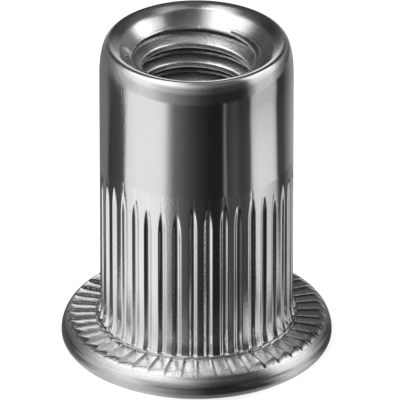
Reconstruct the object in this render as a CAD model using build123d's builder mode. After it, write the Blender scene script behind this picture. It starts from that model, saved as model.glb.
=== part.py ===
from build123d import *
import math
import os

os.makedirs("parts", exist_ok=True)

# Rivet nut (blind threaded insert), M6 x 1, flat head, open end.
# The outer face of the head lies on Z = 0 and the threaded end points up +Z.
# All sizes in millimetres; the Z axis is the thread's axis.

# ---------------------------------------------------------------- sizes
overall_length = 15.7       # outer face of the head to the lip
shank_r = 4.5               # shank, 9 mm, fits a 9.1 mm hole
head_r = 6.33               # widest part of the head
head_thickness = 1.5        # outer face to the serrated seat under the head
head_widest_z = 0.55        # height of the head's widest circle
head_face_r = 5.43          # flat part of the outer face
seat_r = 5.6                # where the seat begins to round over to the rim

minor_r = 2.5               # M6 x 1 thread at its minor diameter
clearance_r = 3.5           # plain bore below the thread (the part that collapses)
clearance_depth = 8.7       # from the outer face
clearance_end_z = 9.3       # end of the cone from plain bore to thread
entry_chamfer = 0.35        # at the mouth of the plain bore

lip_crest_r = 4.1           # highest circle of the lip
lip_outer_height = 1.65     # height over which the shank draws in to the lip
lip_inner_round = 0.6       # rounding just inside the crest
lip_inner_angle = 27.0      # slope inside the crest, degrees below level
countersink_r = 3.55        # outer circle of the thread's countersink
countersink_top = 0.215     # its depth below the lip
countersink_end_r = 3.05
countersink_end = 0.74
lead_in_end = 1.08          # depth where the full minor bore begins

flare_r = 4.61              # foot of the shank, where it widens towards the seat
flare_height = 0.9
ledge_r = 4.68              # narrow ledge round the foot, inside the serrations
ledge_height = 0.07

knurl_count = 39            # straight V grooves pressed into the shank
knurl_depth = 0.14
knurl_spread = 1.25         # half width of a groove for each mm of its depth
knurl_tip_z = overall_length - 6.27   # where each groove runs out
knurl_full_z = overall_length - 7.48  # where it reaches its full depth
knurl_phase = -92.2         # direction of one groove, degrees from +X

serration_count = 47        # radial saw teeth under the head
serration_depth = 0.11      # at seat_r, as are the widths below; all shrink towards the axis
serration_root = 0.04       # width of the level bottom between two teeth
serration_wall = 0.06       # width of the steep face that drops from a crest
serration_land = 0.07       # width of the level crest
serration_knee = (0.30, 0.025)   # where the long face bends: distance past the bottom, depth below the crests
serration_start_r = 4.71    # the teeth stop just short of the ledge
serration_phase = -88.82    # direction of one bottom, degrees from +X

# ---------------------------------------------------------------- knurl cutter
# One groove as a stack of similar triangles: the point of the V follows
# (height, radius) and the open side lies outside the shank. At the top the V rises out of the surface; at the foot it
# follows the flare out to the ledge.
cutter_r = shank_r + 0.6
knurl_path = [
    (knurl_tip_z + 0.15, shank_r + 0.035),
    (knurl_tip_z, shank_r),
    (knurl_tip_z - 0.33, shank_r - 0.47 * knurl_depth),
    (knurl_tip_z - 0.73, shank_r - 0.84 * knurl_depth),
    (knurl_full_z, shank_r - knurl_depth),
    (head_thickness + 0.85, shank_r - knurl_depth),
    (head_thickness + 0.35, shank_r - 0.07),
    (head_thickness + 0.13, flare_r),
]

with BuildPart() as knurl_groove:
    for height, point_r in knurl_path:
        half_width = knurl_spread * (cutter_r - point_r)
        with BuildSketch(Plane.XY.offset(height)):
            with BuildLine():
                Polyline(
                    (point_r, 0),
                    (cutter_r, half_width),
                    (cutter_r, -half_width),
                    close=True,
                )
            make_face()
    loft(ruled=True)

# ---------------------------------------------------------------- serration cutter
# The gap between two saw teeth. Counter-clockwise, seen from above, a steep face drops from a crest to the bottom and
# a long face climbs from there to the next crest, first steeply and then gently. All of its faces run through one
# point on the axis at the seat's height, so they are flat and the gap deepens and widens outwards. The rim falls away
# below it, so each gap runs out to a corner on the rounded edge of the head.
pitch = 2 * math.pi * seat_r / serration_count
clear = 0.002               # how far the gap's faces carry on above the crests
groove_open = 0.05          # height of the cutter above the seat
wall_start = -serration_root / 2 - serration_wall * (1 + clear / serration_depth)
knee, knee_depth = serration_knee
long_end = pitch - serration_root / 2 - serration_wall - serration_land
long_end += (long_end - knee) * clear / knee_depth
groove_corners = [          # (distance round from the bottom, height over the seat), both at seat_r
    (wall_start, groove_open),
    (wall_start, clear),
    (-serration_root / 2, -serration_depth),
    (serration_root / 2, -serration_depth),
    (knee, -knee_depth),
    (long_end, clear),
    (long_end, groove_open),
]


def groove_section(distance):
    """The gap's corners, across and up, in the plane this far from the axis."""
    return [
        (distance * math.tan(round_by / seat_r), head_thickness + height * distance / seat_r)
        for round_by, height in groove_corners
    ]


with BuildPart() as serration:
    for distance in (serration_start_r - 0.3, head_r + 0.5):
        with BuildSketch(Plane.YZ.offset(distance)):
            with BuildLine():
                Polyline(*groove_section(distance), close=True)
            make_face()
    loft(ruled=True)
    Cylinder(serration_start_r, 2 * head_thickness + 1, mode=Mode.SUBTRACT)

# ---------------------------------------------------------------- rivet nut
top = overall_length
round_sin = math.sin(math.radians(lip_inner_angle))
round_cos = math.cos(math.radians(lip_inner_angle))
crest_end = (
    lip_crest_r - lip_inner_round * round_sin,
    top - lip_inner_round * (1 - round_cos),
)

with BuildPart() as rivet_nut:
    # half section, radius along X and height along Z, turned about the Z axis
    with BuildSketch(Plane.XZ):
        with BuildLine():
            # outer face of the head and its soft lower edge
            Line((clearance_r + entry_chamfer, 0), (head_face_r, 0))
            EllipticalCenterArc(
                (head_face_r, head_widest_z),
                head_r - head_face_r,
                head_widest_z,
                start_angle=270,
                arc_size=90,
            )
            # rounded rim, up to the seat under the head
            EllipticalCenterArc(
                (seat_r, head_widest_z),
                head_r - seat_r,
                head_thickness - head_widest_z,
                start_angle=0,
                arc_size=90,
            )
            # seat, ledge and the flared foot of the shank
            Polyline(
                (seat_r, head_thickness),
                (ledge_r, head_thickness),
                (ledge_r, head_thickness + ledge_height),
                (flare_r, head_thickness + ledge_height),
            )
            TangentArc(
                (shank_r, head_thickness + flare_height),
                (flare_r, head_thickness + ledge_height),
                tangent=(0, -1),
            )
            Line((shank_r, head_thickness + flare_height), (shank_r, top - lip_outer_height))
            # the shank draws in to the crest of the lip
            EllipticalCenterArc(
                (lip_crest_r, top - lip_outer_height),
                shank_r - lip_crest_r,
                lip_outer_height,
                start_angle=0,
                arc_size=90,
            )
            # inside of the lip, countersink and lead-in
            CenterArc(
                (lip_crest_r, top - lip_inner_round),
                lip_inner_round,
                start_angle=90,
                arc_size=lip_inner_angle,
            )
            Polyline(
                crest_end,
                (countersink_r, top - countersink_top),
                (countersink_end_r, top - countersink_end),
                (minor_r, top - lead_in_end),
                (minor_r, clearance_end_z),
                (clearance_r, clearance_depth),
                (clearance_r, entry_chamfer),
                (clearance_r + entry_chamfer, 0),
            )
        make_face()
    revolve(axis=Axis.Z)

    with PolarLocations(0, knurl_count, start_angle=knurl_phase):
        add(knurl_groove.part, mode=Mode.SUBTRACT)
    with PolarLocations(0, serration_count, start_angle=serration_phase):
        add(serration.part, mode=Mode.SUBTRACT)

rivet_nut.part.label = "rivet_nut"
export_step(rivet_nut.part, "parts/rivet_nut.step")

print("volume mm3", round(rivet_nut.part.volume, 2))
print("solids", len(rivet_nut.part.solids()), "faces", len(rivet_nut.part.faces()))
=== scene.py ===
"""A knurled rivet nut, standing on its head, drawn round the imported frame. Lengths in the mesh code are millimetres."""

import math

import bpy
import numpy as np
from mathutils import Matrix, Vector


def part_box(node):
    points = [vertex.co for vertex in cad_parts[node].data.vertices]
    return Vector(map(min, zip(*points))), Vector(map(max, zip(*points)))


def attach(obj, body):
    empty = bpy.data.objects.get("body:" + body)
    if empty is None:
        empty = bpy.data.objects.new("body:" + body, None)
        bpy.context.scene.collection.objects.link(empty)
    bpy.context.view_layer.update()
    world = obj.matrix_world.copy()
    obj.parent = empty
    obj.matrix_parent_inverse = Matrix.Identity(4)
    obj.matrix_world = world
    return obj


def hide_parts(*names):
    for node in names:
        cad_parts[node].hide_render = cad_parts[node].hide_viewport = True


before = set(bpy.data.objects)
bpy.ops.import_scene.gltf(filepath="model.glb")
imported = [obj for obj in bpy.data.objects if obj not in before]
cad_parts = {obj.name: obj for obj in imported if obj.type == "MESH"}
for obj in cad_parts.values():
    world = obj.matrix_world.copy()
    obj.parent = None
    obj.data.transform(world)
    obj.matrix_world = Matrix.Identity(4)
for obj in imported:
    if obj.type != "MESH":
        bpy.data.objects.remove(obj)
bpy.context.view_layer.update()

MM = 0.001
TAU = 2 * math.pi
rng = np.random.RandomState(17)
node_low, node_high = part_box("rivet_nut")

# ---------------------------------------------------------------- sizes, as in the part's source
length = node_high.z / MM
shank_r = 4.5
head_r = 6.33
head_widest_z = 0.55
head_face_r = 5.43
seat_z = 1.5
seat_r = 5.6
minor_r = 2.5
clearance_r = 3.5
clearance_end_z = 9.3
clearance_depth = 8.7
entry_chamfer = 0.35
lip_crest_r = 4.1
lip_outer_height = 1.65
lip_inner_round = 0.6
lip_inner_angle = 27.0
countersink_r, countersink_top = 3.55, 0.215
countersink_end_r, countersink_end = 3.05, 0.74
lead_in_end = 1.08
flare_r, flare_height = 4.61, 0.9
ledge_r, ledge_z = 4.68, 1.57

knurl_count, knurl_phase = 39, -92.2
knurl_depth, knurl_half_width = 0.125, 0.19
knurl_tip_z = length - 6.27
knurl_run_out = 1.21

serration_count, serration_phase = 47, -88.82
serration_depth, serration_wall = 0.11, 0.075  # at seat_r, with half of the bottom counted to the steep face
serration_land, serration_knee, serration_knee_depth = 0.07, 0.30, 0.025

thread_pitch = 1.0
thread_root_r = 3.0
thread_first_crest = length - 1.55  # its height on the +Y side


# ---------------------------------------------------------------- small helpers
def smooth_min(a, b, k):
    h = np.clip(0.5 + 0.5 * (b - a) / k, 0.0, 1.0)
    return b * (1 - h) + a * h - k * h * (1 - h)


def smooth_max(a, b, k):
    return -smooth_min(-a, -b, k)


def wrapped(angle):
    return (angle + math.pi) % TAU - math.pi


def arc(cr, cz, a, b, start, end, count):
    """(r, z) points of an elliptical arc, from start to end degrees."""
    t = np.radians(np.linspace(start, end, count))
    return [(cr + a * math.cos(x), cz + b * math.sin(x)) for x in t]


def even_columns(count):
    return np.arange(count) * TAU / count


def groove_columns(centres, per):
    """Column angles that follow the grooves, with the same number of columns to each."""
    n = len(centres)
    along = np.interp(
        np.arange(n * per) / per,
        np.arange(n + 1),
        np.append(centres, centres[0] + TAU),
    )
    return np.sort(np.mod(along, TAU))


class Surface:
    """One closed skin, made of rings of vertices from the outer face, up the outside and down the inside."""

    def __init__(self):
        self.points, self.marks = [], []
        self.faces, self.face_uvs = [], []
        self.count = 0
        self.v = 0.0  # how far down the flattened map the next strip starts

    def add(self, points, marks):
        index = np.arange(self.count, self.count + len(points))
        self.points.append(points)
        self.marks.append(marks)
        self.count += len(points)
        return index

    def face(self, corners, uvs):
        self.faces.append(corners)
        self.face_uvs.append(uvs)

    def rings(self, angles, r, z, edge, hollow, patch, painted_shade=0.0, satin=0.0):
        """Rows of vertices from arrays of rows x columns, joined into quads."""
        rows, cols = r.shape
        x, y = r * np.cos(angles), r * np.sin(angles)
        points = np.stack([x, y, z], -1).reshape(-1, 3)
        marks = np.stack(
            [np.broadcast_to(m, r.shape).ravel() for m in (edge, hollow, patch, painted_shade, satin)], -1
        )
        index = self.add(points, marks).reshape(rows, cols)
        mean_r, mean_z = r.mean(1), z.mean(1)
        steps = np.hypot(np.diff(mean_r), np.diff(mean_z)) + 0.01
        v = self.v + np.concatenate([[0], np.cumsum(steps)])
        u = np.append(angles, angles[0] + TAU) / TAU
        for i in range(rows - 1):
            for j in range(cols):
                k = (j + 1) % cols
                self.face(
                    (index[i, j], index[i, k], index[i + 1, k], index[i + 1, j]),
                    ((u[j], v[i]), (u[j + 1], v[i]), (u[j + 1], v[i + 1]), (u[j], v[i + 1])),
                )
        self.v = v[-1]
        return index

    def join(self, ring_a, angles_a, ring_b, angles_b, step=0.05):
        """A strip of triangles between two rings with different numbers of columns."""
        a, b = np.append(angles_a, angles_a[0] + TAU), np.append(angles_b, angles_b[0] + TAU)
        na, nb = len(ring_a), len(ring_b)
        v0, v1 = self.v, self.v + step
        i = j = 0
        while i < na or j < nb:
            if j >= nb or (i < na and a[i + 1] <= b[j + 1]):
                self.face(
                    (ring_a[i], ring_a[(i + 1) % na], ring_b[j % nb]),
                    ((a[i] / TAU, v0), (a[i + 1] / TAU, v0), (b[j] / TAU, v1)),
                )
                i += 1
            else:
                self.face(
                    (ring_a[i % na], ring_b[(j + 1) % nb], ring_b[j]),
                    ((a[i] / TAU, v0), (b[j + 1] / TAU, v1), (b[j] / TAU, v1)),
                )
                j += 1
        self.v = v1 + 0.25  # and a gap before the next strip of the map

    def strip(self, chains, labels, heights, angles, shift):
        """Columns of vertices, each with its own labels in order, joined to the next column. The last column joins the
        first, whose labels then count shift more."""
        n = len(chains)
        u = np.append(angles, angles[0] + TAU) / TAU
        for c in range(n):
            d = (c + 1) % n
            left, right = chains[c], chains[d]
            ll = labels[c]
            rl = labels[d] if d else [x + shift for x in labels[0]]
            lz, rz = heights[c], heights[d]
            i = j = 0
            while i < len(left) - 1 or j < len(right) - 1:
                if i < len(left) - 1 and j < len(right) - 1 and ll[i + 1] == rl[j + 1]:
                    self.face(
                        (left[i], right[j], right[j + 1], left[i + 1]),
                        ((u[c], lz[i]), (u[c + 1], rz[j]), (u[c + 1], rz[j + 1]), (u[c], lz[i + 1])),
                    )
                    i, j = i + 1, j + 1
                elif j == len(right) - 1 or (i < len(left) - 1 and ll[i + 1] < rl[j + 1]):
                    self.face(
                        (left[i], right[j], left[i + 1]),
                        ((u[c], lz[i]), (u[c + 1], rz[j]), (u[c], lz[i + 1])),
                    )
                    i += 1
                else:
                    self.face(
                        (left[i], right[j], right[j + 1]),
                        ((u[c], lz[i]), (u[c + 1], rz[j]), (u[c + 1], rz[j + 1])),
                    )
                    j += 1


skin = Surface()

# ---------------------------------------------------------------- the head: outer face and rolled rim
rim_angles = even_columns(230)
rim_profile = [(3.93, 0.0), (4.3, 0.0), (4.9, 0.0), (5.3, 0.0)]
rim_profile += arc(head_face_r, head_widest_z, head_r - head_face_r, head_widest_z, -90, 0, 11)
rim_profile += arc(seat_r, head_widest_z, head_r - seat_r, seat_z - head_widest_z, 0, 50, 9)[1:]
rim_profile = np.array(rim_profile)
rim_r = np.repeat(rim_profile[:, :1], len(rim_angles), 1)
rim_z = np.repeat(rim_profile[:, 1:], len(rim_angles), 1)


def rim_shade(angles):
    """Darker stretches of the rim: painted shade."""
    dark = 0.0
    for turn, spread, depth in ((287, 17, 0.42), (352, 26, 0.34), (212, 20, 0.22)):
        off = (np.degrees(angles) - turn + 180.0) % 360.0 - 180.0
        dark = dark + depth * np.exp(-((off / spread) ** 4))
    return dark


# the rim's darker stretches are painted shade
rim = skin.rings(rim_angles, rim_r, rim_z, 0.0, 0.0, 0.0, rim_shade(rim_angles)[None, :], 1.0)

# ---------------------------------------------------------------- the seat with its radial serrations, and the ledge's wall
serration_at = (
    math.radians(serration_phase)
    + (np.arange(serration_count) + rng.uniform(-0.06, 0.06, serration_count)) * TAU / serration_count
)
serration_deep = serration_depth * rng.uniform(0.9, 1.1, serration_count)
serration_run = np.diff(np.append(serration_at, serration_at[0] + TAU))
tooth_columns = np.array(
    [0, 0.02, 0.045, 0.09, 0.16, 0.24, 0.32, 0.37, 0.41, 0.46, 0.54, 0.64, 0.74, 0.8, 0.835, 0.865, 0.89, 0.915, 0.945, 0.975]
)
seat_angles = np.sort(np.mod((serration_at[:, None] + tooth_columns * serration_run[:, None]).ravel(), TAU))


def seat_teeth(r):
    """Depth below the crests at these radii, one for each column, and the share of the way from one root to the next.
    Counter-clockwise a long face climbs from a root, steeply and then gently, and a steep face drops to the next."""
    here = np.mod(seat_angles - serration_at[0], TAU)
    starts = serration_at - serration_at[0]
    k = np.clip(np.searchsorted(starts, here + 1e-9, side="right") - 1, 0, None)
    share = (here - starts[k]) / serration_run[k]
    after = (k + 1) % serration_count
    along = share * serration_run[k] * seat_r
    left = (1 - share) * serration_run[k] * seat_r
    whole = serration_run[k] * seat_r - serration_wall - serration_land
    climb = serration_deep[k] - (serration_deep[k] - serration_knee_depth) * along / serration_knee
    gentle = serration_knee_depth * (whole - along) / (whole - serration_knee)
    drop = serration_deep[after] * (1 - left / serration_wall)
    depth = smooth_max(smooth_max(climb, gentle, 0.06), 0.0, 0.012)
    depth = smooth_max(depth, drop, 0.04)
    root = serration_deep[k] * (1 - share) + serration_deep[after] * share
    depth = smooth_min(depth, root - 0.003, 0.012)
    return depth * r / seat_r, share


def seat_height(r, base):
    """Height of the seat at these radii, one for each column, under a smooth height base."""
    depth, share = seat_teeth(r)
    ripple = 0.004 * np.sin(11.0 * r + 40.0 * seat_angles) * np.sin(math.pi * share)
    return smooth_min(base, seat_z - depth + ripple, 0.02)


seat_rows = arc(seat_r, head_widest_z, head_r - seat_r, seat_z - head_widest_z, 53, 90, 11)
seat_rows += [(r, seat_z) for r in (5.5, 5.35, 5.2, 5.05, 4.9, 4.8, 4.74)]
seat_rz = []
for r0, z0 in seat_rows:
    radius = np.full(len(seat_angles), r0)
    seat_rz.append((radius, seat_height(radius, np.full(len(seat_angles), z0))))
foot = seat_rz[-1][1]
for r0, share in ((4.705, 0.06), (4.688, 0.25), (4.682, 0.62), (4.676, 0.93)):
    seat_rz.append((np.full(len(seat_angles), r0), foot + (ledge_z - foot) * share))
seat_rz.append((np.full(len(seat_angles), 4.660), np.full(len(seat_angles), ledge_z)))
seat_rr = np.array([a for a, _ in seat_rz])
seat_zz = np.array([b for _, b in seat_rz])
tooth_depth, tooth_share = seat_teeth(np.full(len(seat_angles), seat_r))
smooth_seat = np.array([z0 for _, z0 in seat_rows] + [seat_z] * 4 + [ledge_z])[:, None]
on_seat = np.clip((smooth_seat - 1.2) / 0.12, 0, 1) * np.ones_like(seat_zz)
# painted shade on the seat: darker in the serrations' roots and along their steep faces, less of it on the near side, a
# painted dark band across the right side's level faces, the rim's painted shade below the seat, and painted shade in
# the corner at the ledge's foot
seat_shade = np.clip(1 - tooth_share / 0.1, 0, 1) + np.clip((tooth_share - 0.87) / 0.02, 0, 1)
round_seat = (np.degrees(seat_angles) + 60.0) % 360.0 - 60.0
front = np.exp(-(((round_seat - 262.0) / 47.0) ** 4))  # lighter and rougher on this near side: the lighter tone is painted light
right_side_shade = np.exp(-(((round_seat - 2.0) / 42.0) ** 4)) * np.exp(-(((tooth_share - 0.66) / 0.14) ** 4))
near_side_less_shade = np.maximum(0.66 * np.exp(-(((round_seat - 238.0) / 58.0) ** 4)), 0.55 * np.exp(-(((round_seat - 275.0) / 47.0) ** 4)))
seat_shade = np.clip(np.clip(seat_shade, 0, 1) * (1 - near_side_less_shade) + 0.75 * right_side_shade, 0, 1)[None, :] * on_seat
seat_shade = seat_shade + rim_shade(seat_angles)[None, :] * (1 - on_seat)
seat_shade[-6:] = np.maximum(seat_shade[-6:], 0.45)
# painted highlight: a lighter line along each tooth's crest
seat_crest_highlight = np.clip(1 - np.abs(tooth_share - 0.86) / 0.03, 0, 1)[None, :] * on_seat
seat_crest_highlight[-5:] = 0.0
# the near side's extra patch lifts the tone there: painted light
seat_patch = on_seat * (1 + 0.45 * front)[None, :]
seat_satin = 1 - on_seat * (1 - 0.2 * front)[None, :]
seat = skin.rings(seat_angles, seat_rr, seat_zz, seat_crest_highlight, 0.0, seat_patch, seat_shade, seat_satin)

# ---------------------------------------------------------------- the flared, grooved part of the shank
tips = rng.uniform(-0.1, 0.1, knurl_count)
tips[[35, 36, 37, 38, 0, 1, 2, 3, 4, 5, 6]] = (0.0, -0.26, -0.43, -0.43, 0.03, -0.02, 0.05, -0.04, 0.03, 0.06, -0.26)
knurl_at = (
    math.radians(knurl_phase)
    + (np.arange(knurl_count) + rng.uniform(-0.035, 0.035, knurl_count)) * TAU / knurl_count
)
knurl_deep = knurl_depth * rng.uniform(0.88, 1.12, knurl_count)
knurl_wide = knurl_half_width * rng.uniform(0.92, 1.08, knurl_count)
knurl_angles = groove_columns(knurl_at, 24)

flare_bend = ((shank_r - flare_r) ** 2 + (ledge_z + flare_height - 0.07 - ledge_z) ** 2) / (2 * (flare_r - shank_r))
flare_top = seat_z + flare_height


def flare(z):
    """Radius of the shank before the grooves: it widens to the ledge on an arc."""
    down = np.clip(flare_top - z, 0.0, None)
    return shank_r + flare_bend - np.sqrt(flare_bend**2 - down**2)


def grooved(z):
    """(radius, share of full depth) at these heights, one for each column."""
    base = flare(z)
    off = wrapped(knurl_angles[:, None] - knurl_at[None, :])
    x = shank_r * off
    s = np.clip((knurl_tip_z + tips[None, :] - z[:, None]) / knurl_run_out, 0.0, 1.0)
    depth = knurl_deep * (1 - (1 - s) ** 1.6) ** 1.35
    bend = knurl_deep / knurl_wide**2
    floor = base[:, None] - depth + bend * x * x
    near = floor.min(1)
    r = smooth_min(base, near + 0.002, 0.016)
    return r, np.clip((base - r) / knurl_depth, 0, 1)


knurl_rows = [ledge_z, 1.585, 1.62, 1.68, 1.76, 1.87, 2.0, 2.2, 2.4, 3.2, 4.2, 5.2, 6.2, 7.2]
knurl_rows += [7.8, 8.1, 8.3, 8.5, 8.7, 8.88, 9.04, 9.18, 9.3, 9.4, 9.49, 9.57, 9.66, 9.78]
knurl_rr, knurl_zz, knurl_hollow = [], [], []
for z0 in knurl_rows:
    heights = np.full(len(knurl_angles), z0)
    r, share = grooved(heights)
    if z0 == ledge_z:
        r = r + 0.012
    knurl_rr.append(r)
    knurl_zz.append(heights)
    knurl_hollow.append(share)
knurl_rr, knurl_zz, knurl_hollow = map(np.array, (knurl_rr, knurl_zz, knurl_hollow))
knurl_edge = np.clip(1 - np.abs(knurl_hollow - 0.06) / 0.12, 0, 1) * (knurl_hollow > 0.004)
skin_mark = 0.35
knurl_off = (np.degrees(knurl_angles) - 339.0 + 180.0) % 360.0 - 180.0
knurl_shade = 0.36 * np.exp(-((knurl_off / 26.0) ** 4))[None, :]  # painted shade on this side
skin.join(rim[-1], rim_angles, seat[0], seat_angles)
knurl = skin.rings(knurl_angles, knurl_rr, knurl_zz, knurl_edge, knurl_hollow, skin_mark, knurl_shade)
skin.join(seat[-1], seat_angles, knurl[0], knurl_angles)

# ---------------------------------------------------------------- the plain shank, the rolled lip and the countersink
lip_angles = even_columns(312)
inner = math.radians(lip_inner_angle)
crest_z = length - lip_inner_round
crest_end = (lip_crest_r - lip_inner_round * math.sin(inner), crest_z + lip_inner_round * math.cos(inner))
sink_top = (countersink_r, length - countersink_top)
sink_end = (countersink_end_r, length - countersink_end)
lead_end = (minor_r, length - lead_in_end)


def between(a, b, t):
    return (a[0] + (b[0] - a[0]) * t, a[1] + (b[1] - a[1]) * t)


def rounded(a, corner, b, reach, count=4):
    """Points that round the corner between two straight runs, starting reach away from it."""
    p = between(corner, a, reach / math.dist(corner, a))
    q = between(corner, b, reach / math.dist(corner, b))
    return [
        between(between(p, corner, t), between(corner, q, t), t)
        for t in np.linspace(0, 1, count)
    ]


lip_profile = [(shank_r, z) for z in (9.9, 10.6, 11.5, 12.4, 13.2, 13.8)]
lip_outer = [0, 7, 14, 21, 28, 35, 42, 49, 56, 62, 68, 73, 78, 83, 88]
for t in np.radians(lip_outer):
    lip_profile.append(
        (lip_crest_r + (shank_r - lip_crest_r) * math.cos(t), length - lip_outer_height + lip_outer_height * math.sin(t))
    )
lip_profile += arc(lip_crest_r, crest_z, lip_inner_round, lip_inner_round, 92, 90 + lip_inner_angle, 7)
lip_profile += rounded(crest_end, sink_top, sink_end, 0.12, 5)
lip_profile += [between(sink_top, sink_end, t) for t in (0.42, 0.66)]
lip_profile += rounded(sink_top, sink_end, lead_end, 0.05, 3)
lip_profile = np.array(lip_profile)
lip_r = np.repeat(lip_profile[:, :1], len(lip_angles), 1)
lip_z = np.repeat(lip_profile[:, 1:], len(lip_angles), 1)
lip_patch = np.clip((lip_profile[:, 1:] - (length - 1.2)) / 0.5, 0, 1) * (lip_profile[:, :1] < 4.05)


def lip_spot(turn, spread, steps, middle, width):
    """A soft-edged spot round this angle in degrees and this step of the lip's profile."""
    off = (np.degrees(lip_angles) - turn + 180.0) % 360.0 - 180.0
    return np.exp(-((off[None, :] / spread) ** 4)) * np.exp(-(((steps - middle) / width) ** 4))


steps = np.linspace(0.0, 1.0, len(lip_profile))[:, None]
inside = np.argmax(lip_profile[:, 0] < lip_crest_r - 0.3) / (len(lip_profile) - 1)
# painted shade: darker spots on the lip and in the countersink
lip_shade = 0.5 * lip_spot(98, 13, steps, inside + 0.06, 0.12) + 0.12 * lip_spot(200, 26, steps, inside - 0.42, 0.26)
lip_shade += 0.5 * lip_spot(14, 24, steps, inside + 0.12, 0.22) + 0.35 * lip_spot(-35, 45, steps, inside - 0.5, 0.16)
lip_shade += 0.2 * lip_spot(20, 22, steps, inside - 0.3, 0.2)
lip_shade = np.clip(lip_shade, 0, 1)
lip_rough = 0.9 * lip_spot(200, 28, steps, inside - 0.42, 0.26) + 0.7 * lip_spot(10, 26, steps, inside + 0.05, 0.3)
lip = skin.rings(lip_angles, lip_r, lip_z, 0.0, 0.0, 0.2 * lip_patch + lip_rough, lip_shade, 0.0)
skin.join(knurl[-1], knurl_angles, lip[0], lip_angles)

# ---------------------------------------------------------------- the thread
thread_columns = 324
thread_angles = even_columns(thread_columns)
thread_top = lip_profile[-1]
thread_bottom_z = 8.95
thread_bottom_r = minor_r + (clearance_end_z - thread_bottom_z) * (clearance_r - minor_r) / (
    clearance_end_z - clearance_depth
)
# (share of the pitch below a crest's middle, radius): a flat crest, straight flanks and a rounded root
thread_form = [
    (0.0, minor_r),
    (0.095, minor_r),
    (0.13, minor_r + 0.02),
    (0.175, minor_r + 0.09),
    (0.26, minor_r + 0.24),
    (0.345, minor_r + 0.385),
    (0.41, thread_root_r - 0.025),
    (0.5, thread_root_r),
    (0.59, thread_root_r - 0.025),
    (0.655, minor_r + 0.385),
    (0.74, minor_r + 0.24),
    (0.825, minor_r + 0.09),
    (0.87, minor_r + 0.02),
    (0.905, minor_r),
]
per_pitch = len(thread_form)


def thread_limit(z):
    """The lead-in and run-out cones that cut the thread at its ends."""
    lead = minor_r + (z - (length - lead_in_end)) * (countersink_end_r - minor_r) / (lead_in_end - countersink_end)
    out = minor_r + (clearance_end_z - z) * (clearance_r - minor_r) / (clearance_end_z - clearance_depth)
    return max(lead, out)


chains, labels, heights = [], [], []
top_ring = thread_angles
upper_r, upper_z = thread_top[0] - 0.012, thread_top[1] - 0.02
for c, angle in enumerate(thread_angles):
    turn = thread_pitch * (angle - math.pi / 2) / TAU
    pts, marks, labs = [(upper_r, upper_z)], [(0.0, 0.0, 0.3, 0.0, 0.3)], [-(10**6)]
    for k in range(-3 * per_pitch, 8 * per_pitch):
        share, r0 = thread_form[k % per_pitch]
        z = thread_first_crest + turn - thread_pitch * (k // per_pitch + share)
        if not thread_bottom_z + 0.03 < z < upper_z - 0.03:
            continue
        limit = thread_limit(z)
        r = float(smooth_max(np.float64(r0), np.float64(limit), 0.03))
        pts.append((r, z))
        crest = max(0.0, 1 - abs(r0 - minor_r - 0.02) / 0.03) * (limit < r0)
        # painted shade: darker towards the thread's roots
        root = min(1.0, max(0.0, (r - minor_r - 0.16) / 0.3))
        marks.append((crest, 0.0, 1.1, 0.8 * root, 0.5))
        labs.append(k)
    pts.append((thread_bottom_r, thread_bottom_z))
    # painted shade at the thread's lower end
    marks.append((0.0, 0.3, 0.3, 0.1, 0.5))
    labs.append(10**6)
    pts = np.array(pts)
    index = skin.add(
        np.stack([pts[:, 0] * math.cos(angle), pts[:, 0] * math.sin(angle), pts[:, 1]], -1),
        np.array(marks, float),
    )
    chains.append(index)
    labels.append(labs)
    heights.append(pts[:, 1])
thread_v = skin.v
heights = [thread_v + (thread_top[1] - h) * 1.7 for h in heights]
# the end vertices' labels stay the same all round, so they are kept out of the shift
ends = 10**6


class EndSafe(int):
    """A label that the shift round the seam leaves alone."""

    def __add__(self, other):
        return self


labels = [[EndSafe(x) if abs(x) == ends else x for x in lab] for lab in labels]
skin.strip(chains, labels, heights, thread_angles, per_pitch)
skin.v = thread_v + (thread_top[1] - thread_bottom_z) * 1.7 + 0.25
skin.join(lip[-1], lip_angles, np.array([c[0] for c in chains]), thread_angles)

# ---------------------------------------------------------------- the clearance bore and its mouth
bore_angles = even_columns(144)
cone_end = (clearance_r, clearance_depth)
mouth = (clearance_r, entry_chamfer)
face_in = (clearance_r + entry_chamfer, 0.0)
bore_profile = [(thread_bottom_r + 0.05, thread_bottom_z - 0.03)]
bore_profile += rounded((thread_bottom_r, thread_bottom_z), cone_end, mouth, 0.08, 4)
bore_profile += [(clearance_r, z) for z in (8.0, 6.5, 5.0, 3.5, 2.0, 1.0)]
bore_profile += rounded(cone_end, mouth, face_in, 0.04, 3)
bore_profile += rounded(mouth, face_in, (4.3, 0.0), 0.04, 3)
bore_profile = np.array(bore_profile)
bore_r = np.repeat(bore_profile[:, :1], len(bore_angles), 1)
bore_z = np.repeat(bore_profile[:, 1:], len(bore_angles), 1)
# the bore is painted darker: painted shade
bore = skin.rings(bore_angles, bore_r, bore_z, 0.0, 0.25, 0.3, 0.1, 0.5)
skin.join(np.array([c[-1] for c in chains]), thread_angles, bore[0], bore_angles)
skin.join(bore[-1], bore_angles, rim[0], rim_angles)


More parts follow.
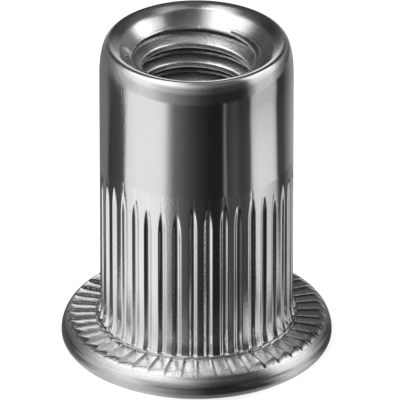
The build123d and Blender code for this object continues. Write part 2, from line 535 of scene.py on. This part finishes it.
# ---------------------------------------------------------------- the mesh
def make_mesh(name, surface):
    points = np.concatenate(surface.points) * MM
    marks = np.concatenate(surface.marks)
    mesh = bpy.data.meshes.new(name)
    mesh.from_pydata(points.tolist(), [], [tuple(int(i) for i in f) for f in surface.faces])
    for k, title in enumerate(("edge", "hollow", "patch", "painted_shade", "satin")):
        layer = mesh.attributes.new(title, "FLOAT", "POINT")
        layer.data.foreach_set("value", marks[:, k].astype(np.float32))
    uv = mesh.uv_layers.new(name="OFBake")
    flat = np.array([c for f in surface.face_uvs for c in f], np.float32)
    flat[:, 0] = 0.005 + 0.98 * flat[:, 0] / flat[:, 0].max()
    flat[:, 1] = 0.995 - 0.99 * flat[:, 1] / (surface.v + 0.05)
    uv.data.foreach_set("uv", flat.ravel())
    mesh.polygons.foreach_set("use_smooth", np.ones(len(mesh.polygons), bool))
    mesh.update()
    mesh.validate()
    return mesh


nut_mesh = make_mesh("nut", skin)
nut = bpy.data.objects.new("nut", nut_mesh)
bpy.context.scene.collection.objects.link(nut)
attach(nut, "root")
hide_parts("rivet_nut")


# ---------------------------------------------------------------- the plated steel
class Nodes:
    def __init__(self, tree):
        self.tree = tree
        tree.nodes.clear()

    def new(self, kind, **settings):
        node = self.tree.nodes.new(kind)
        for key, value in settings.items():
            if key == "values":
                for socket, number in value.items():
                    node.inputs[socket].default_value = number
            else:
                setattr(node, key, value)
        return node

    def link(self, a, b):
        self.tree.links.new(a, b)

    def math(self, operation, a, b=None, clamp=False):
        node = self.new("ShaderNodeMath", operation=operation, use_clamp=clamp)
        for socket, value in zip(node.inputs, (a, b)):
            if isinstance(value, (int, float)):
                socket.default_value = value
            elif value is not None:
                self.link(value, socket)
        return node.outputs[0]

    def ramp(self, source, stops, interpolation="LINEAR"):
        node = self.new("ShaderNodeValToRGB")
        node.color_ramp.interpolation = interpolation
        ramp = node.color_ramp
        while len(ramp.elements) > 1:
            ramp.elements.remove(ramp.elements[-1])
        for k, (place, value) in enumerate(stops):
            e = ramp.elements[0] if k == 0 else ramp.elements.new(place)
            e.position = place
            e.color = (value, value, value, 1) if isinstance(value, (int, float)) else (*value, 1)
        self.link(source, node.inputs[0])
        return node.outputs[0]


steel = bpy.data.materials.new("plated_steel")
steel.use_nodes = True
n = Nodes(steel.node_tree)
where = n.new("ShaderNodeTexCoord").outputs["Object"]
mm = n.new("ShaderNodeVectorMath", operation="SCALE", values={"Scale": 1000.0})
n.link(where, mm.inputs[0])
mm = mm.outputs[0]
parts = n.new("ShaderNodeSeparateXYZ")
n.link(mm, parts.inputs[0])
edge = n.new("ShaderNodeAttribute", attribute_name="edge").outputs["Fac"]
hollow = n.new("ShaderNodeAttribute", attribute_name="hollow").outputs["Fac"]
patch = n.new("ShaderNodeAttribute", attribute_name="patch").outputs["Fac"]
painted_shade = n.new("ShaderNodeAttribute", attribute_name="painted_shade").outputs["Fac"]
satin = n.new("ShaderNodeAttribute", attribute_name="satin").outputs["Fac"]


def noise(scale, detail, vector=None, rough=0.55):
    node = n.new("ShaderNodeTexNoise", values={"Scale": scale, "Detail": detail, "Roughness": rough})
    n.link(vector or mm, node.inputs["Vector"])
    return node.outputs["Fac"]


stretched = n.new("ShaderNodeVectorMath", operation="MULTIPLY")
stretched.inputs[1].default_value = (1.0, 1.0, 0.06)
n.link(mm, stretched.inputs[0])
drawn_lines = noise(5.5, 3.0, stretched.outputs[0])
turned = n.new("ShaderNodeCombineXYZ")
n.link(n.math("MULTIPLY", parts.outputs[0], 0.35), turned.inputs[0])
n.link(n.math("MULTIPLY", parts.outputs[1], 0.35), turned.inputs[1])
from_axis = n.math("SQRT", n.math("ADD", n.math("POWER", parts.outputs[0], 2.0), n.math("POWER", parts.outputs[1], 2.0)))
n.link(n.math("SUBTRACT", n.math("MULTIPLY", parts.outputs[2], 9.0), n.math("MULTIPLY", from_axis, 5.0)), turned.inputs[2])
turned_lines = noise(1.3, 3.0, turned.outputs[0])
clouds = noise(0.9, 3.0)
mottle = noise(7.0, 4.0)
grain = noise(26.0, 2.0)

tone = n.math("ADD", n.math("MULTIPLY", clouds, 0.05), n.math("MULTIPLY", mottle, 0.04))
tone = n.math("ADD", tone, 0.77)
# patch lightens the tone: on the seat's near side and in the thread this is painted light
tone = n.math("ADD", tone, n.math("MULTIPLY", patch, 0.14))
# darker in the knurl's grooves and in the bore: painted shade
tone = n.math("SUBTRACT", tone, n.math("MULTIPLY", hollow, 0.05))
streaks = n.math("MULTIPLY", n.math("SUBTRACT", turned_lines, 0.5), 0.5)
tone = n.math("ADD", tone, n.math("MULTIPLY", satin, streaks))
tone = n.math("SUBTRACT", tone, n.math("MULTIPLY", n.math("MULTIPLY", satin, clouds), n.math("MULTIPLY", mottle, 0.3)))
# lighter along edges: wear on the knurl's groove rims and the thread's crests, a painted highlight along the seat's
# crests
tone = n.math("ADD", tone, n.math("MULTIPLY", edge, 0.08), clamp=True)
# painted shade: the shade mark darkens the tone
shade_strength = n.math("MULTIPLY", painted_shade, n.math("ADD", 0.62, n.math("MULTIPLY", mottle, 0.6)), clamp=True)
tone = n.math("MULTIPLY", tone, n.math("SUBTRACT", 1.0, shade_strength), clamp=True)
colour = n.new("ShaderNodeCombineColor")
n.link(tone, colour.inputs[0])
n.link(tone, colour.inputs[1])
n.link(n.math("MULTIPLY", tone, 0.992), colour.inputs[2])

rough = n.math("ADD", n.math("MULTIPLY", mottle, 0.07), n.math("MULTIPLY", drawn_lines, 0.05))
rough = n.math("ADD", rough, 0.03)
rough = n.math("ADD", rough, n.math("MULTIPLY", satin, n.math("ADD", 0.03, n.math("MULTIPLY", turned_lines, 0.16))))
rough = n.math("ADD", rough, n.math("MULTIPLY", patch, n.math("ADD", 0.0, n.math("MULTIPLY", grain, 0.14))), clamp=True)

relief = n.math("MULTIPLY", drawn_lines, 0.0012)
relief = n.math("ADD", relief, n.math("MULTIPLY", n.math("MULTIPLY", turned_lines, 0.006), satin))
relief = n.math("ADD", relief, n.math("MULTIPLY", n.math("MULTIPLY", mottle, 0.014), patch))
relief = n.math("ADD", relief, n.math("MULTIPLY", n.math("MULTIPLY", grain, 0.004), patch))
bump = n.new("ShaderNodeBump", values={"Strength": 1.0, "Distance": 0.001})
n.link(relief, bump.inputs["Height"])

shader = n.new("ShaderNodeBsdfPrincipled", values={"Metallic": 1.0})
n.link(colour.outputs[0], shader.inputs["Base Color"])
n.link(rough, shader.inputs["Roughness"])
n.link(bump.outputs[0], shader.inputs["Normal"])
output = n.new("ShaderNodeOutputMaterial")
n.link(shader.outputs[0], output.inputs["Surface"])
nut_mesh.materials.append(steel)

# ---------------------------------------------------------------- the floor
floor_mesh = bpy.data.meshes.new("floor")
half = 0.6
floor_mesh.from_pydata(
    [(-half, -half, 0), (half, -half, 0), (half, half, 0), (-half, half, 0)], [], [(0, 1, 2, 3)]
)
floor = bpy.data.objects.new("floor", floor_mesh)
floor.location.z = -0.00002
bpy.context.scene.collection.objects.link(floor)
floor.visible_glossy = False
pale = bpy.data.materials.new("pale_floor")
pale.use_nodes = True
f = Nodes(pale.node_tree)
paint = f.new("ShaderNodeBsdfDiffuse", values={"Color": (0.9, 0.9, 0.9, 1)})
glow = f.new("ShaderNodeEmission", values={"Color": (1, 1, 1, 1), "Strength": 0.75})
both = f.new("ShaderNodeAddShader")
f.link(paint.outputs[0], both.inputs[0])
f.link(glow.outputs[0], both.inputs[1])
end = f.new("ShaderNodeOutputMaterial")
f.link(both.outputs[0], end.inputs["Surface"])
floor_mesh.materials.append(pale)

# ---------------------------------------------------------------- studio light, as a room of soft bright and dark panels
world = bpy.data.worlds.new("studio")
bpy.context.scene.world = world
world.use_nodes = True
w = Nodes(world.node_tree)
toward = w.new("ShaderNodeTexCoord").outputs["Generated"]
split = w.new("ShaderNodeSeparateXYZ")
w.link(toward, split.inputs[0])
front = w.math("MULTIPLY", split.outputs[1], -1.0)
azimuth = w.math("ARCTAN2", split.outputs[0], front)  # 0 towards -Y, growing towards +X
azimuth = w.math("ADD", w.math("DIVIDE", azimuth, TAU), 0.5)
elevation = w.math("ARCSINE", split.outputs[2])
elevation = w.math("ADD", w.math("DIVIDE", elevation, math.pi), 0.5)


def round_about(nodes, source, *stops):
    """A ramp round the horizon from (degrees, brightness) stops."""
    return nodes.ramp(source, [((a + 180) / 360, v) for a, v in stops])


# Brightness round the horizon, 0 degrees towards the camera's side and growing to the right, at five elevations
gap = round_about(
    w, azimuth, (-180, 1.1), (-170, 1.0), (-162, 0.34), (-150, 0.13), (-127, 0.12), (-112, 0.17), (-97, 0.38),
    (-82, 0.5), (-67, 0.66), (-52, 0.58), (-37, 0.33), (-22, 0.18), (-7, 0.085), (7, 0.035), (22, 0.02),
    (52, 0.025), (60, 0.06), (66, 0.28), (75, 0.78), (97, 0.8), (107, 0.42), (117, 0.2), (130, 0.1), (150, 0.1),
    (162, 0.3), (170, 1.0), (180, 1.1),
)
low = round_about(
    w, azimuth, (-180, 0.9), (-170, 0.75), (-162, 0.22), (-150, 0.13), (-127, 0.14), (-112, 0.22), (-102, 0.42),
    (-90, 0.68), (-75, 0.87), (-58, 0.88), (-48, 0.66), (-37, 0.5), (-22, 0.34), (-7, 0.2), (7, 0.085), (22, 0.04),
    (45, 0.05), (57, 0.06), (62, 0.16), (67, 0.65), (73, 0.9), (102, 0.95), (109, 0.65), (117, 0.32), (128, 0.2),
    (145, 0.16), (162, 0.22), (170, 0.6), (180, 0.9),
)
middle = round_about(
    w, azimuth, (-180, 0.03), (-165, 0.045), (-140, 0.04), (-125, 0.09), (-112, 0.17), (-104, 0.45), (-97, 0.8),
    (-88, 1.1), (-45, 1.12), (-30, 1.0), (-15, 0.68), (-3, 0.4), (8, 0.24), (22, 0.12), (45, 0.1), (56, 0.12),
    (62, 0.3), (68, 0.8), (73, 1.1), (112, 1.05), (118, 0.55), (123, 0.25), (130, 0.13), (142, 0.05), (165, 0.045),
    (180, 0.03),
)
upper = round_about(
    w, azimuth, (-180, 0.08), (-160, 0.06), (-142, 0.05), (-127, 0.09), (-112, 0.22), (-97, 0.5), (-82, 0.95),
    (-67, 1.15), (-42, 1.15), (-30, 0.85), (-20, 0.6), (-7, 0.28), (7, 0.18), (25, 0.14), (52, 0.1), (63, 0.13),
    (75, 0.26), (98, 0.26), (110, 0.17), (127, 0.09), (155, 0.08), (180, 0.08),
)
TOP = 0.46


def degrees(e):
    return (e + 90) / 180


def blend_at(a, b, start, end):
    """From a to b as the elevation goes from start to end degrees."""
    mix = w.new("ShaderNodeMix", data_type="RGBA")
    w.link(w.ramp(elevation, [(degrees(start), 0.0), (degrees(end), 1.0)]), mix.inputs["Factor"])
    w.link(a, mix.inputs["A"])
    if isinstance(b, float):
        mix.inputs["B"].default_value = (b, b, b, 1)
    else:
        w.link(b, mix.inputs["B"])
    return mix.outputs["Result"]


room = blend_at(gap, low, -4, 3)
room = blend_at(room, middle, 12, 28)
room = blend_at(room, upper, 40, 54)
over = round_about(
    w, azimuth, (-180, 0.12), (-155, 0.14), (-138, 0.4), (-122, 1.0), (-100, 1.3), (-70, 1.1), (-40, 0.65),
    (-20, 0.35), (0, 0.2), (40, 0.14), (75, 0.2), (95, 0.45), (112, 0.6), (128, 0.45), (150, 0.14), (180, 0.12),
)
room = blend_at(room, over, 60, 74)
room = blend_at(room, TOP, 84, 90)
panels = w.new("ShaderNodeBackground", values={"Strength": 1.15})
w.link(room, panels.inputs["Color"])
white = w.new("ShaderNodeBackground", values={"Color": (1, 1, 1, 1), "Strength": 1.0})
camera_ray = w.new("ShaderNodeLightPath").outputs["Is Camera Ray"]
choice = w.new("ShaderNodeMixShader")
w.link(camera_ray, choice.inputs[0])
w.link(panels.outputs[0], choice.inputs[1])
w.link(white.outputs[0], choice.inputs[2])
out = w.new("ShaderNodeOutputWorld")
w.link(choice.outputs[0], out.inputs["Surface"])

# ---------------------------------------------------------------- the small lit table top that the steel reflects
table_r = 55.0
ring = [(table_r * MM * math.cos(t), table_r * MM * math.sin(t), 0.0) for t in np.arange(96) * TAU / 96]
table_mesh = bpy.data.meshes.new("reflected_table")
table_mesh.from_pydata(ring, [], [tuple(range(96))])
table = bpy.data.objects.new("reflected_table", table_mesh)
table.location.z = -0.00001
bpy.context.scene.collection.objects.link(table)
table.visible_camera = table.visible_diffuse = table.visible_shadow = False
table.visible_transmission = table.visible_volume_scatter = False
lit = bpy.data.materials.new("lit_table")
lit.use_nodes = True
t = Nodes(lit.node_tree)
spot = t.new("ShaderNodeTexCoord").outputs["Object"]
xyz = t.new("ShaderNodeSeparateXYZ")
t.link(spot, xyz.inputs[0])
bearing = t.math("ARCTAN2", xyz.outputs[0], t.math("MULTIPLY", xyz.outputs[1], -1.0))
bearing = t.math("ADD", t.math("DIVIDE", bearing, TAU), 0.5)
sectors = round_about(
    t, bearing, (-180, 0.42), (-164, 0.38), (-162, 0.16), (-122, 0.15), (-118, 0.035), (-100, 0.05), (-89, 0.07),
    (-84, 0.70), (-66, 0.79), (-42, 0.77), (-36, 0.69), (-33, 0.5), (-28, 0.24), (-24, 0.13), (-19, 0.105),
    (-10, 0.06), (0, 0.032), (14, 0.014), (29, 0.013), (31.3, 0.25), (33, 0.032), (43, 0.07), (50, 0.04), (61, 0.06),
    (65, 0.60), (73, 0.69), (92, 0.67), (99, 0.55), (104, 0.05), (116, 0.05), (142, 0.3), (180, 0.42),
)
beside = round_about(
    t, bearing, (-180, 0.4), (-165, 0.35), (-150, 0.12), (-125, 0.08), (-97, 0.08), (-82, 0.09), (-70, 0.14),
    (-62, 0.4), (-54, 0.66), (-36, 0.63), (-22, 0.38), (-8, 0.14), (6, 0.032), (24, 0.036), (36, 0.05), (44, 0.33),
    (50, 0.66), (64, 0.6), (72, 0.3), (80, 0.075), (100, 0.06), (115, 0.15), (150, 0.15), (166, 0.35), (180, 0.4),
)
beneath = round_about(
    t, bearing, (-180, 0.4), (-150, 0.15), (-95, 0.2), (-80, 0.4), (-66, 0.55), (-50, 0.58), (-36, 0.66), (-22, 0.56),
    (-8, 0.24), (6, 0.2), (22, 0.3), (38, 0.42), (52, 0.48), (66, 0.32), (84, 0.1), (120, 0.14), (150, 0.15), (180, 0.4),
)
out_from_axis = t.new("ShaderNodeVectorMath", operation="LENGTH")
t.link(spot, out_from_axis.inputs[0])
reach = t.math("MULTIPLY", out_from_axis.outputs["Value"], 1 / (20.0 * MM))


def by_reach(a, b, start, end):
    """From a to b as the distance from the axis goes from start to end millimetres."""
    mix = t.new("ShaderNodeMix", data_type="RGBA")
    t.link(t.ramp(reach, [(start / 20, 0.0), (end / 20, 1.0)]), mix.inputs["Factor"])
    for socket, value in (("A", a), ("B", b)):
        if isinstance(value, float):
            mix.inputs[socket].default_value = (value, value, value, 1)
        else:
            t.link(value, mix.inputs[socket])
    return mix.outputs["Result"]


sectors = by_reach(by_reach(beneath, beside, 6.4, 6.95), sectors, 8.6, 12.0)
shine = t.new("ShaderNodeEmission", values={"Strength": 1.15})
t.link(sectors, shine.inputs["Color"])
end = t.new("ShaderNodeOutputMaterial")
t.link(shine.outputs[0], end.inputs["Surface"])
table_mesh.materials.append(lit)

# ---------------------------------------------------------------- the camera
cam_data = bpy.data.cameras.new("camera")
cam = bpy.data.objects.new("camera", cam_data)
bpy.context.scene.collection.objects.link(cam)
bpy.context.scene.camera = cam
distance, elevation_deg = 475.0, 28.5
target = Vector((0.16, 0.0, 7.36))
e = math.radians(elevation_deg)
back = Vector((0.0, -math.cos(e), math.sin(e)))
cam.location = (target + back * distance) * MM
cam.rotation_mode = "QUATERNION"
cam.rotation_quaternion = (-back).to_track_quat("-Z", "Y")
cam_data.sensor_width = 36.0
cam_data.lens = 21.5 * distance / 400 * 36.0
cam_data.clip_start, cam_data.clip_end = 0.01, 10.0

bpy.context.scene.view_settings.view_transform = "Standard"
bpy.context.scene.view_settings.look = "None"
